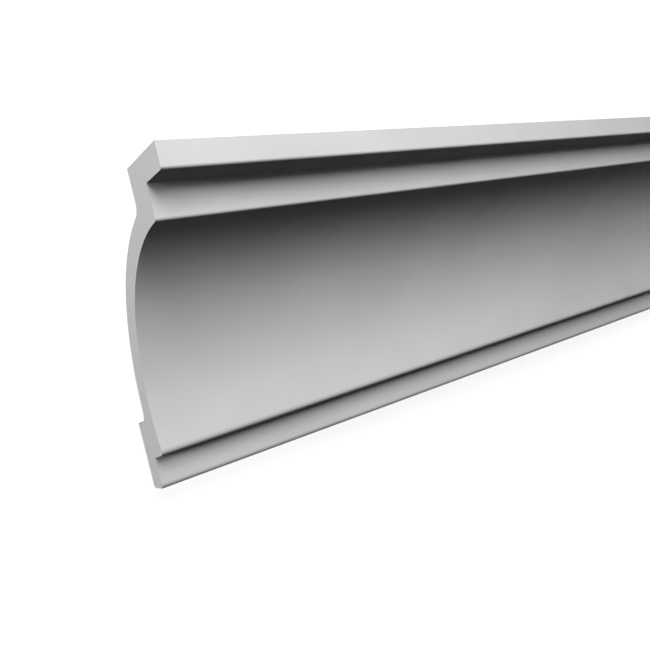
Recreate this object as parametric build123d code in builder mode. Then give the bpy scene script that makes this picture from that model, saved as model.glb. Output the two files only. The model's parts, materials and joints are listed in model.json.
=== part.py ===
from build123d import *
import os
from math import acos, asin, atan2, cos, degrees, radians, sin, sqrt, tan

# Plain cove cornice moulding, one straight length with square-cut ends.
# The section is drawn as it stands in use, in the corner of wall and ceiling: the first
# coordinate is the distance out from the wall, the second is the height above the
# moulding's bottom edge. Sizes are in millimetres and angles in degrees.

# Overall
length = 2000
height = 140
projection = 100

# Flat lands that are glued to the ceiling and to the wall
ceiling_land = 33
wall_land = 33

# Two upright fascias above the cove, with a soffit between them
front_fascia_height = 11
soffit_depth = 16.8
second_fascia_height = 15.2

# Cove: a lower arc, which stands upright at one height, and a tighter upper arc
cove_depth = 21.6
cove_upright_height = 37.6
cove_lower_radius = 89.8
cove_change_angle = 30
cove_wall = 10.7

# Foot below the cove, set back under the cove's bottom lip
foot_depth = 12.1
lip_height = 17.2
lip_rake = 8

# Small roundings, crisper on the fascias than on the cove's lip and the foot
upper_edge_round = 1.3
lower_edge_round = 2.7
back_corner_fillet = 5.5

# Cove centres. The radii change on a line that rises from the lower centre to the wall.
# The upper arc leaves the lower one smoothly there and ends under the second fascia.
change_direction = Vector(-cos(radians(cove_change_angle)), sin(radians(cove_change_angle)))
second_fascia_depth = projection - soffit_depth
cove_top = Vector(second_fascia_depth, height - front_fascia_height - second_fascia_height)
lower_centre = Vector(cove_depth + cove_lower_radius, cove_upright_height)
cove_change = lower_centre + change_direction * cove_lower_radius
upper_chord = cove_top - cove_change
cove_upper_radius = upper_chord.length**2 / (-2 * upper_chord.dot(change_direction))
upper_centre = cove_change - change_direction * cove_upper_radius

# Back of the cove, parallel to its face, so the wall between them has one thickness
back_lower_radius = cove_lower_radius + cove_wall
back_upper_radius = cove_upper_radius + cove_wall
back_change = cove_change + change_direction * cove_wall


def on_arc_at_height(centre, radius, up):
    """Point of an arc at one height, on the side towards the wall."""
    return Vector(centre.X - sqrt(radius**2 - (up - centre.Y) ** 2), up)


def on_arc_at_depth(centre, radius, out):
    """Point of an arc at one distance from the wall, on its upper side."""
    return Vector(out, centre.Y + sqrt(radius**2 - (out - centre.X) ** 2))


# Corners of the outline
wall_bottom = Vector(0, 0)
foot_bottom = Vector(foot_depth, 0)
lip_edge = on_arc_at_height(lower_centre, cove_lower_radius, lip_height)
groove_root = Vector(foot_depth, lip_height - (lip_edge.X - foot_depth) * tan(radians(lip_rake)))
soffit_back = Vector(second_fascia_depth, height - front_fascia_height)
fascia_bottom = Vector(projection, height - front_fascia_height)
ceiling_front = Vector(projection, height)
ceiling_back = Vector(projection - ceiling_land, height)
neck = on_arc_at_depth(upper_centre, back_upper_radius, ceiling_back.X)
ledge_root = on_arc_at_height(lower_centre, back_lower_radius, wall_land)
ledge_edge = Vector(0, wall_land)

# The ledge above the wall land limits the fillet in its corner
ledge_fillet = min(back_corner_fillet, 0.9 * ledge_root.X)


def corner(sketch, point):
    """The sketch's corner nearest to a point of the outline."""
    return sketch.vertices().sort_by_distance(point)[0]


# Section
with BuildSketch(Plane.XY) as section:
    with BuildLine():
        Polyline(lip_edge, groove_root, foot_bottom, wall_bottom, ledge_edge, ledge_root)
        lower_back = RadiusArc(ledge_root, back_change, back_lower_radius)
        TangentArc(back_change, neck, tangent=lower_back % 1)
        Polyline(neck, ceiling_back, ceiling_front, fascia_bottom, soffit_back, cove_top)
        lower_face = RadiusArc(lip_edge, cove_change, cove_lower_radius)
        TangentArc(cove_change, cove_top, tangent=lower_face % 1)
    make_face()
    upper_edges = [corner(section, point) for point in (fascia_bottom, cove_top)]
    fillet(upper_edges, radius=upper_edge_round)
    lower_edges = [corner(section, point) for point in (lip_edge, foot_bottom)]
    fillet(lower_edges, radius=lower_edge_round)
    fillet(corner(section, neck), radius=back_corner_fillet)
    fillet(corner(section, ledge_root), radius=ledge_fillet)

# Unheld on a floor the moulding lies face up on its curved back, and balances where its
# centre of mass is straight above the line of contact. That line is on the lower arc, or
# on the upper one where the centre of mass is further round than the change of radius.
mass_centre = section.sketch.face().center(CenterOf.MASS)
touching_centre = lower_centre
touching_radius = back_lower_radius
if change_direction.cross(mass_centre - lower_centre).Z < 0:
    touching_centre = upper_centre
    touching_radius = back_upper_radius
to_floor = mass_centre - touching_centre
lean = atan2(to_floor.Y, -to_floor.X)

# Lying frame: X along the length, Z up from the floor, origin under the middle
out_direction = Vector(0, sin(lean), cos(lean))
up_direction = Vector(0, cos(lean), -sin(lean))
breadth = ceiling_front.X * out_direction.Y + ceiling_front.Y * up_direction.Y
arc_centre_height = touching_centre.X * out_direction.Z + touching_centre.Y * up_direction.Z
lying = Plane(
    origin=(0, -breadth / 2, touching_radius - arc_centre_height),
    x_dir=out_direction,
    z_dir=(-1, 0, 0),
)

# Moulding
with BuildPart() as cornice_moulding:
    with BuildSketch(lying):
        add(section.sketch_local)
    extrude(amount=length / 2, both=True)

cornice_moulding.part.label = "cornice_moulding"

os.makedirs("parts", exist_ok=True)
export_step(cornice_moulding.part, "parts/cornice_moulding.step")
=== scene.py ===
"""Looks of a length of plain cove cornice moulding, primed white, lying face up on a pale floor."""
import json
import math

import bmesh
import bpy
from mathutils import Matrix, Quaternion, Vector


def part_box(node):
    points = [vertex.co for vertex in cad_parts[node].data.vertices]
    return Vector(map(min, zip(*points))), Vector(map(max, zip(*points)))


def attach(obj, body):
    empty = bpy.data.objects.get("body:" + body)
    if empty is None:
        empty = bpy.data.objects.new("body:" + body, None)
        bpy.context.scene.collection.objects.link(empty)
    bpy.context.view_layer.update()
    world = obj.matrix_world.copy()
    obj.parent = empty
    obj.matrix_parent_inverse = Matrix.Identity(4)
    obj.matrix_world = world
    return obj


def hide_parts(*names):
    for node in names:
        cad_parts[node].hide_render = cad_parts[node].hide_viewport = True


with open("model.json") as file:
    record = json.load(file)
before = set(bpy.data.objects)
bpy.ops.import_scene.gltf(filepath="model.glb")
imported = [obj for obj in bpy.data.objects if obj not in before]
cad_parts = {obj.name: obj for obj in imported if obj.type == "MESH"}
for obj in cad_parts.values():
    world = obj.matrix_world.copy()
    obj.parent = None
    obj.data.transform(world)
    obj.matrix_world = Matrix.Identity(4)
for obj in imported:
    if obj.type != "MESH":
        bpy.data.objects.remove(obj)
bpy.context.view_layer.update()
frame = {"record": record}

MM = 0.001
LENGTHWISE = Vector((1, 0, 0))

# Section, in millimetres: distance out from the wall and height above the bottom edge
HEIGHT = 140
PROJECTION = 100
CEILING_LAND = 33
WALL_LAND = 33
FRONT_FASCIA_HEIGHT = 11
SOFFIT_DEPTH = 16.8
SECOND_FASCIA_HEIGHT = 15.2
COVE_DEPTH = 21.6
COVE_UPRIGHT_HEIGHT = 37.6
COVE_LOWER_RADIUS = 89.8
COVE_CHANGE_ANGLE = math.radians(30)
COVE_WALL = 10.7
FOOT_DEPTH = 12.1
LIP_HEIGHT = 17.2
LIP_RAKE = math.radians(8)
UPPER_EDGE_ROUND = 1.3
LOWER_EDGE_ROUND = 2.7
BACK_CORNER_FILLET = 5.5

# Modelled curves: the longest step of an arc in millimetres and its largest turn, the steps of
# a rounding, and the turn from which an edge stays sharp. The roundings are bevelled next to
# the cove's arcs, whose steps are therefore longer than the widest rounding.
ARC_STEP = 3.2
ARC_TURN = math.radians(10)
ROUND_SEGMENTS = 8
SHARP_FROM = math.radians(30)

# Fine patterns of the surfaces, in millimetres
CLOUD_SIZE = 40
PEEL_SIZE = 1.6
PEEL_HEIGHT = 0.006
CELL_SIZE = 1.2
CELL_DEPTH = 0.01
SAW_CENTRE_HEIGHT = 160
SAW_PITCH = 2.4
SAW_DEPTH = 0.006

# Gloss of the chalky primer and of bare foam, where smooth plastic has 0.5
CHALKY_GLOSS = 0.03

# Distance between two rings of Blender's wave pattern at a scale of 1
WAVE_PERIOD = math.pi / 10

# Camera, in metres, as the photograph sees the left end
CAMERA_PLACE = Vector((-1.1007, 0.1281, 0.2747))
CAMERA_AIM = Vector((-0.8937, -0.0236, 0.0151))
CAMERA_ROLL = math.radians(121.48)
CAMERA_ANGLE = math.radians(52.70)

# Floor, in metres. Round the moulding the floor glows a little less than white, so that the
# shadow shows. It fades to white between two fractions of an oval, which reaches this far along
# the moulding and across it.
FLOOR_REACH = 30
FADE_OVAL = (2.6, 1.2)
FADE_START = 0.42
FADE_END = 0.75
SHADED_FLOOR_GLOW = 0.9

# Strength of the light that the room itself adds
ROOM_LIGHT = 0.012

# Middle of the part that the photograph shows, which its lamps are aimed at
LEFT_PART = Vector((-0.87, 0, 0.03))


def srgb(hex_colour):
    """Linear colour of an sRGB hex value."""
    def linear(c):
        return c / 12.92 if c <= 0.04045 else ((c + 0.055) / 1.055) ** 2.4

    parts = [int(hex_colour[i:i + 2], 16) / 255 for i in (1, 3, 5)]
    return (*[linear(c) for c in parts], 1)


# The moulded length

def at(out, up):
    """A section point in the working frame, where the wall is behind the moulding."""
    return Vector((0, -out, up))


def direction_angle(towards, start):
    """Angle of a direction in the section, from straight out of the wall up to the ceiling."""
    way = towards - start
    return math.atan2(way.z, -way.y)


def carry_round(bm, corner, centre, to_angle):
    """Draws an arc from a corner about a centre, and returns the corner at its far end."""
    turn = to_angle - direction_angle(corner.co, centre)
    turn = (turn + math.pi) % math.tau - math.pi
    step = min(ARC_STEP / (corner.co - centre).length, ARC_TURN)
    drawn = bmesh.ops.spin(
        bm, geom=[corner], cent=centre, axis=LENGTHWISE, angle=-turn,
        steps=math.ceil(abs(turn) / step), use_merge=False
    )
    return next(part for part in drawn["geom_last"] if isinstance(part, bmesh.types.BMVert))


def join_straight(bm, start, *places):
    """Draws straight runs from a corner through the places, and returns the last corner."""
    for place in places:
        corner = bm.verts.new(place)
        bm.edges.new((start, corner))
        start = corner
    return start


def draw_section(bm):
    """Outline of the section as one face, and its lower and upper corners that are rounded."""
    second_fascia = PROJECTION - SOFFIT_DEPTH
    soffit_height = HEIGHT - FRONT_FASCIA_HEIGHT
    land_back = PROJECTION - CEILING_LAND

    # The cove's upper arc leaves the lower one smoothly and ends under the second fascia
    change_way = at(-math.cos(COVE_CHANGE_ANGLE), math.sin(COVE_CHANGE_ANGLE))
    change_angle = math.pi - COVE_CHANGE_ANGLE
    lower_centre = at(COVE_DEPTH + COVE_LOWER_RADIUS, COVE_UPRIGHT_HEIGHT)
    change = lower_centre + change_way * COVE_LOWER_RADIUS
    cove_top_place = at(second_fascia, soffit_height - SECOND_FASCIA_HEIGHT)
    chord = cove_top_place - change
    upper_radius = chord.length_squared / (-2 * chord.dot(change_way))
    upper_centre = change - change_way * upper_radius

    # Fillets in the two back corners touch the land's line and the cove's back
    back_lower = COVE_LOWER_RADIUS + COVE_WALL + BACK_CORNER_FILLET
    back_upper = upper_radius + COVE_WALL + BACK_CORNER_FILLET
    ledge_rise = WALL_LAND + BACK_CORNER_FILLET - COVE_UPRIGHT_HEIGHT
    ledge_out = COVE_DEPTH + COVE_LOWER_RADIUS - math.sqrt(back_lower**2 - ledge_rise**2)
    ledge_centre = at(ledge_out, WALL_LAND + BACK_CORNER_FILLET)
    neck_in = -upper_centre.y - (land_back - BACK_CORNER_FILLET)
    neck_up = upper_centre.z + math.sqrt(back_upper**2 - neck_in**2)
    neck_centre = at(land_back - BACK_CORNER_FILLET, neck_up)

    # Back, from the foot round to the ceiling
    foot_front = bm.verts.new(at(FOOT_DEPTH, 0))
    ledge = join_straight(bm, foot_front, at(0, 0), at(0, WALL_LAND), at(ledge_out, WALL_LAND))
    back = carry_round(bm, ledge, ledge_centre, direction_angle(lower_centre, ledge_centre))
    back = carry_round(bm, back, lower_centre, change_angle)
    back = carry_round(bm, back, upper_centre, direction_angle(neck_centre, upper_centre))
    neck = carry_round(bm, back, neck_centre, 0)

    # Front, from the ceiling down to the foot
    ceiling_front = join_straight(bm, neck, at(land_back, HEIGHT), at(PROJECTION, HEIGHT))
    fascia_bottom = join_straight(bm, ceiling_front, at(PROJECTION, soffit_height))
    soffit_back = join_straight(bm, fascia_bottom, at(second_fascia, soffit_height))
    cove_top = join_straight(bm, soffit_back, cove_top_place)
    face = carry_round(bm, cove_top, upper_centre, change_angle)
    below_upright = math.asin((COVE_UPRIGHT_HEIGHT - LIP_HEIGHT) / COVE_LOWER_RADIUS)
    lip = carry_round(bm, face, lower_centre, math.pi + below_upright)
    groove_drop = (-lip.co.y - FOOT_DEPTH) * math.tan(LIP_RAKE)
    groove_root = join_straight(bm, lip, at(FOOT_DEPTH, LIP_HEIGHT - groove_drop))
    bm.edges.new((groove_root, foot_front))
    bmesh.ops.edgeloop_fill(bm, edges=bm.edges[:])
    return [foot_front, lip], [cove_top, fascia_bottom]


def round_long_edges(bm, corners, radius):
    """Rounds the edges that run the whole length from some of the section's corners. A bevel's
    offset is how far it runs along the faces, so the corner's angle comes into it."""
    edges = [e for v in corners for e in v.link_edges if e.other_vert(v).co.x != v.co.x]
    for edge in edges:
        run = radius * math.tan(edge.calc_face_angle() / 2)
        bmesh.ops.bevel(
            bm, geom=[edge], offset=run, offset_type="OFFSET", segments=ROUND_SEGMENTS,
            profile=0.5, affect="EDGES", material=-1
        )


def lay_down():
    """Matrix from the working frame to the lying moulding, found by its land on the ceiling."""
    land = next(m for m in frame["record"]["mounts"] if m["name"] == "ceiling_land")
    up_way = Vector(land["axis"])
    turned = Matrix.Rotation(math.atan2(up_way.z, up_way.y) - math.pi / 2, 4, "X")
    land_middle = turned @ (at(PROJECTION - CEILING_LAND / 2, HEIGHT) * MM)
    moved = Matrix.Translation(Vector(land["pos_m"]) - land_middle)
    return moved @ turned @ Matrix.Scale(MM, 4)


def make_moulding(primed, sawn):
    """The whole length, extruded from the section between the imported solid's two ends."""
    cad_start, cad_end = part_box("cornice_moulding")
    length = (cad_end.x - cad_start.x) / MM
    bm = bmesh.new()
    lower_corners, upper_corners = draw_section(bm)
    drawn = bmesh.ops.extrude_face_region(bm, geom=bm.faces[:])
    far_end = [part for part in drawn["geom"] if isinstance(part, bmesh.types.BMVert)]
    bmesh.ops.translate(bm, verts=far_end, vec=LENGTHWISE * length)
    round_long_edges(bm, lower_corners, LOWER_EDGE_ROUND)
    round_long_edges(bm, upper_corners, UPPER_EDGE_ROUND)
    bmesh.ops.translate(bm, verts=bm.verts, vec=-LENGTHWISE * length / 2)
    bmesh.ops.transform(bm, matrix=lay_down(), verts=bm.verts)
    bmesh.ops.recalc_face_normals(bm, faces=bm.faces)

    # The two ends take the second material
    for face in bm.faces:
        face.smooth = True
        face.material_index = int(abs(face.normal.dot(LENGTHWISE)) > 0.5)
    for edge in bm.edges:
        edge.smooth = edge.calc_face_angle() < SHARP_FROM

    mesh = bpy.data.meshes.new("moulded_length")
    bm.to_mesh(mesh)
    bm.free()
    mesh.materials.append(primed)
    mesh.materials.append(sawn)
    moulding = bpy.data.objects.new("moulded_length", mesh)
    bpy.context.scene.collection.objects.link(moulding)
    even_shading = moulding.modifiers.new("even_shading", "WEIGHTED_NORMAL")
    even_shading.keep_sharp = True
    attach(moulding, "root")
    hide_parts("cornice_moulding")


# Materials

def add_node(owner, kind, inputs=(), **settings):
    """Adds a node to a material or to the world, with its settings and what goes into it."""
    node = owner.node_tree.nodes.new(kind)
    for name, value in settings.items():
        setattr(node, name, value)
    for socket, value in dict(inputs).items():
        if isinstance(value, bpy.types.NodeSocket):
            owner.node_tree.links.new(value, node.inputs[socket])
        else:
            node.inputs[socket].default_value = value
    return node


def new_material(name):
    """A material and its shader."""
    material = bpy.data.materials.new(name)
    material.use_nodes = True
    return material, material.node_tree.nodes["Principled BSDF"]


def primed_polyurethane():
    """Rigid foam moulded in a closed mould and sprayed with matt white primer. To the eye it is
    plain, dead matt and very even: a spray coat that clouds by a grey level or two, over the
    faintest orange peel."""
    material, shader = new_material("primed_polyurethane")
    shader.inputs["Specular IOR Level"].default_value = CHALKY_GLOSS
    place = add_node(material, "ShaderNodeTexCoord").outputs["Object"]

    # The spray coat lies a little thicker in some places, and is whiter and smoother there
    clouds = add_node(
        material, "ShaderNodeTexNoise",
        {"Vector": place, "Scale": 1 / (CLOUD_SIZE * MM), "Detail": 3, "Roughness": 0.5}
    )
    thin, thick = 0.3, 0.7
    coat = add_node(material, "ShaderNodeValToRGB", {"Fac": clouds.outputs["Fac"]})
    thin_stop, thick_stop = coat.color_ramp.elements
    thin_stop.position, thin_stop.color = thin, srgb("#E3E3E3")
    thick_stop.position, thick_stop.color = thick, srgb("#E9E9E9")
    material.node_tree.links.new(coat.outputs["Color"], shader.inputs["Base Color"])
    sheen = add_node(
        material, "ShaderNodeMapRange",
        {"Value": clouds.outputs["Fac"], "From Min": thin, "From Max": thick,
         "To Min": 0.94, "To Max": 0.86}
    )
    material.node_tree.links.new(sheen.outputs["Result"], shader.inputs["Roughness"])

    # Orange peel of the spray coat
    peel = add_node(
        material, "ShaderNodeTexNoise",
        {"Vector": place, "Scale": 1 / (PEEL_SIZE * MM), "Detail": 1, "Roughness": 0.4}
    )
    bump = add_node(
        material, "ShaderNodeBump",
        {"Height": peel.outputs["Fac"], "Strength": 1, "Distance": PEEL_HEIGHT * MM}
    )
    material.node_tree.links.new(bump.outputs["Normal"], shader.inputs["Normal"])
    return material


def sawn_polyurethane():
    """The same foam sawn square and left bare. To the eye it is as pale as the primer and
    has no gloss at all: fine closed cells, cut open, with faint arcs left by the saw's teeth."""
    material, shader = new_material("sawn_polyurethane")
    shader.inputs["Roughness"].default_value = 0.95
    shader.inputs["Specular IOR Level"].default_value = CHALKY_GLOSS
    place = add_node(material, "ShaderNodeTexCoord").outputs["Object"]

    # Cells of about 0.3 mm are too fine to show, so they are drawn four times as coarse
    cells = add_node(
        material, "ShaderNodeTexVoronoi",
        {"Vector": place, "Scale": 1 / (CELL_SIZE * MM)}, feature="F1"
    )
    # The hollows of the cut cells are painted a little darker than the cell walls, as painted shade
    # in the pits
    cell_colour_and_pit_shade = add_node(material, "ShaderNodeValToRGB", {"Fac": cells.outputs["Distance"]})
    shaded_hollow_stop, wall_stop = cell_colour_and_pit_shade.color_ramp.elements
    shaded_hollow_stop.position, shaded_hollow_stop.color = 0.1, srgb("#E6E6E6")
    wall_stop.position, wall_stop.color = 0.7, srgb("#ECECEC")
    material.node_tree.links.new(cell_colour_and_pit_shade.outputs["Color"], shader.inputs["Base Color"])
    pits = add_node(
        material, "ShaderNodeBump",
        {"Height": cells.outputs["Distance"], "Strength": 1, "Distance": CELL_DEPTH * MM}
    )

    # Arcs of a circular saw that came down through the moulding as it lay on its back
    from_saw_centre = add_node(
        material, "ShaderNodeMapping",
        {"Vector": place, "Location": (0, 0, -SAW_CENTRE_HEIGHT * MM)}
    )
    arcs = add_node(
        material, "ShaderNodeTexWave",
        {"Vector": from_saw_centre.outputs["Vector"], "Scale": WAVE_PERIOD / (SAW_PITCH * MM),
         "Distortion": 2, "Detail": 2, "Detail Scale": 0.4},
        wave_type="RINGS", rings_direction="X"
    )
    marks = add_node(
        material, "ShaderNodeBump",
        {"Height": arcs.outputs["Fac"], "Normal": pits.outputs["Normal"],
         "Strength": 1, "Distance": SAW_DEPTH * MM}
    )
    material.node_tree.links.new(marks.outputs["Normal"], shader.inputs["Normal"])
    return material


# Camera, floor, room and lamps

def make_camera():
    """Camera rolled so that the lying moulding stands upright in the picture, foot down."""
    data = bpy.data.cameras.new("camera")
    data.angle = CAMERA_ANGLE
    data.clip_start = 0.01
    camera = bpy.data.objects.new("camera", data)
    camera.location = CAMERA_PLACE
    camera.rotation_mode = "QUATERNION"
    looking = (CAMERA_AIM - CAMERA_PLACE).to_track_quat("-Z", "Y")
    camera.rotation_quaternion = looking @ Quaternion((0, 0, 1), CAMERA_ROLL)
    bpy.context.scene.collection.objects.link(camera)
    bpy.context.scene.camera = camera


def seen_directly(owner):
    """Number that is 1 where a surface is seen by the camera, in a reflection or through glass."""
    path = add_node(owner, "ShaderNodeLightPath")
    seen = path.outputs["Is Camera Ray"]
    for way in ("Is Glossy Ray", "Is Transmission Ray"):
        either = add_node(
            owner, "ShaderNodeMath", {0: seen, 1: path.outputs[way]}, operation="MAXIMUM"
        )
        seen = either.outputs["Value"]
    return seen


def white_floor():
    """Matt white studio floor. To the eye it is pure white with only a faint shadow."""
    material, shader = new_material("white_floor")
    shader.inputs["Base Color"].default_value = srgb("#E6E6E6")
    shader.inputs["Roughness"].default_value = 1
    shader.inputs["Specular IOR Level"].default_value = 0
    shader.inputs["Emission Color"].default_value = srgb("#FFFFFF")
    place = add_node(material, "ShaderNodeTexCoord").outputs["Object"]
    along, across = FADE_OVAL
    in_oval = add_node(
        material, "ShaderNodeMapping", {"Vector": place, "Scale": (1 / along, 1 / across, 1)}
    )
    away = add_node(
        material, "ShaderNodeVectorMath", {0: in_oval.outputs["Vector"]}, operation="LENGTH"
    )
    glow = add_node(
        material, "ShaderNodeMapRange",
        {"Value": away.outputs["Value"], "From Min": FADE_START, "From Max": FADE_END,
         "To Min": SHADED_FLOOR_GLOW, "To Max": 1},
        interpolation_type="SMOOTHSTEP"
    )
    shown = add_node(
        material, "ShaderNodeMath",
        {0: seen_directly(material), 1: glow.outputs["Result"]}, operation="MULTIPLY"
    )
    material.node_tree.links.new(shown.outputs["Value"], shader.inputs["Emission Strength"])
    return material


def make_floor():
    """Pale floor that keeps the moulding's faint shadow."""
    bm = bmesh.new()
    bmesh.ops.create_grid(bm, x_segments=1, y_segments=1, size=FLOOR_REACH)
    mesh = bpy.data.meshes.new("floor")
    bm.to_mesh(mesh)
    bm.free()
    mesh.materials.append(white_floor())
    floor = bpy.data.objects.new("floor", mesh)
    bpy.context.scene.collection.objects.link(floor)


def make_room():
    """World that is seen as white and adds almost no light of its own."""
    world = bpy.data.worlds.new("room")
    bpy.context.scene.world = world
    world.use_nodes = True
    background = world.node_tree.nodes["Background"]
    background.inputs["Color"].default_value = srgb("#FFFFFF")
    level = add_node(
        world, "ShaderNodeMapRange",
        {"Value": seen_directly(world), "To Min": ROOM_LIGHT, "To Max": 1}
    )
    world.node_tree.links.new(level.outputs["Result"], background.inputs["Strength"])


def make_softbox(name, place, aim, width, height, watts, spread=180, bounces=True):
    """Soft rectangular lamp, its width along the moulding, with a grid that narrows its beam to
    the spread in degrees. One that doesn't bounce lights only what it shines on."""
    data = bpy.data.lights.new(name, "AREA")
    data.shape = "RECTANGLE"
    data.size = width
    data.size_y = height
    data.energy = watts
    data.spread = math.radians(spread)
    if not bounces:
        data.cycles.max_bounces = 0
    away = (Vector(place) - Vector(aim)).normalized()
    along = (LENGTHWISE - away * LENGTHWISE.dot(away)).normalized()
    lamp = bpy.data.objects.new(name, data)
    lamp.location = place
    lamp.rotation_mode = "QUATERNION"
    axes = Matrix((along, away.cross(along), away)).transposed()
    lamp.rotation_quaternion = axes.to_quaternion()
    lamp.visible_camera = False
    bpy.context.scene.collection.objects.link(lamp)


make_moulding(primed_polyurethane(), sawn_polyurethane())
make_camera()
make_floor()
make_room()

# The photograph's own light: one lamp over the ceiling side and one off the sawn end. The
# undersides are almost black in it, so no light of these two bounces.
make_softbox(
    "near_softbox", place=(-1.004, 0.614, 0.383), aim=LEFT_PART,
    width=0.52, height=0.485, watts=4.49, bounces=False
)
make_softbox(
    "left_softbox", place=(-2.349, 0.242, 0.098), aim=LEFT_PART,
    width=0.5, height=0.5, watts=13.5, bounces=False
)

# The rest of the length, from both sides and from its other end. The beams of the first two
# are narrow, so that they end before the part that the photograph shows.
make_softbox(
    "far_softbox", place=(0.345, 1.0, 0.8), aim=(0.345, 0, 0.03),
    width=1.49, height=0.7, watts=1.8, spread=20
)
make_softbox(
    "front_softbox", place=(0.395, -1.0, 0.9), aim=(0.395, 0, 0.03),
    width=1.39, height=0.6, watts=0.35, spread=20
)
make_softbox(
    "right_softbox", place=(2.317, 0.315, 0.266), aim=(0.9, 0, 0.03),
    width=0.5, height=0.5, watts=3.2, spread=90
)

bpy.context.scene.view_settings.view_transform = "Standard"
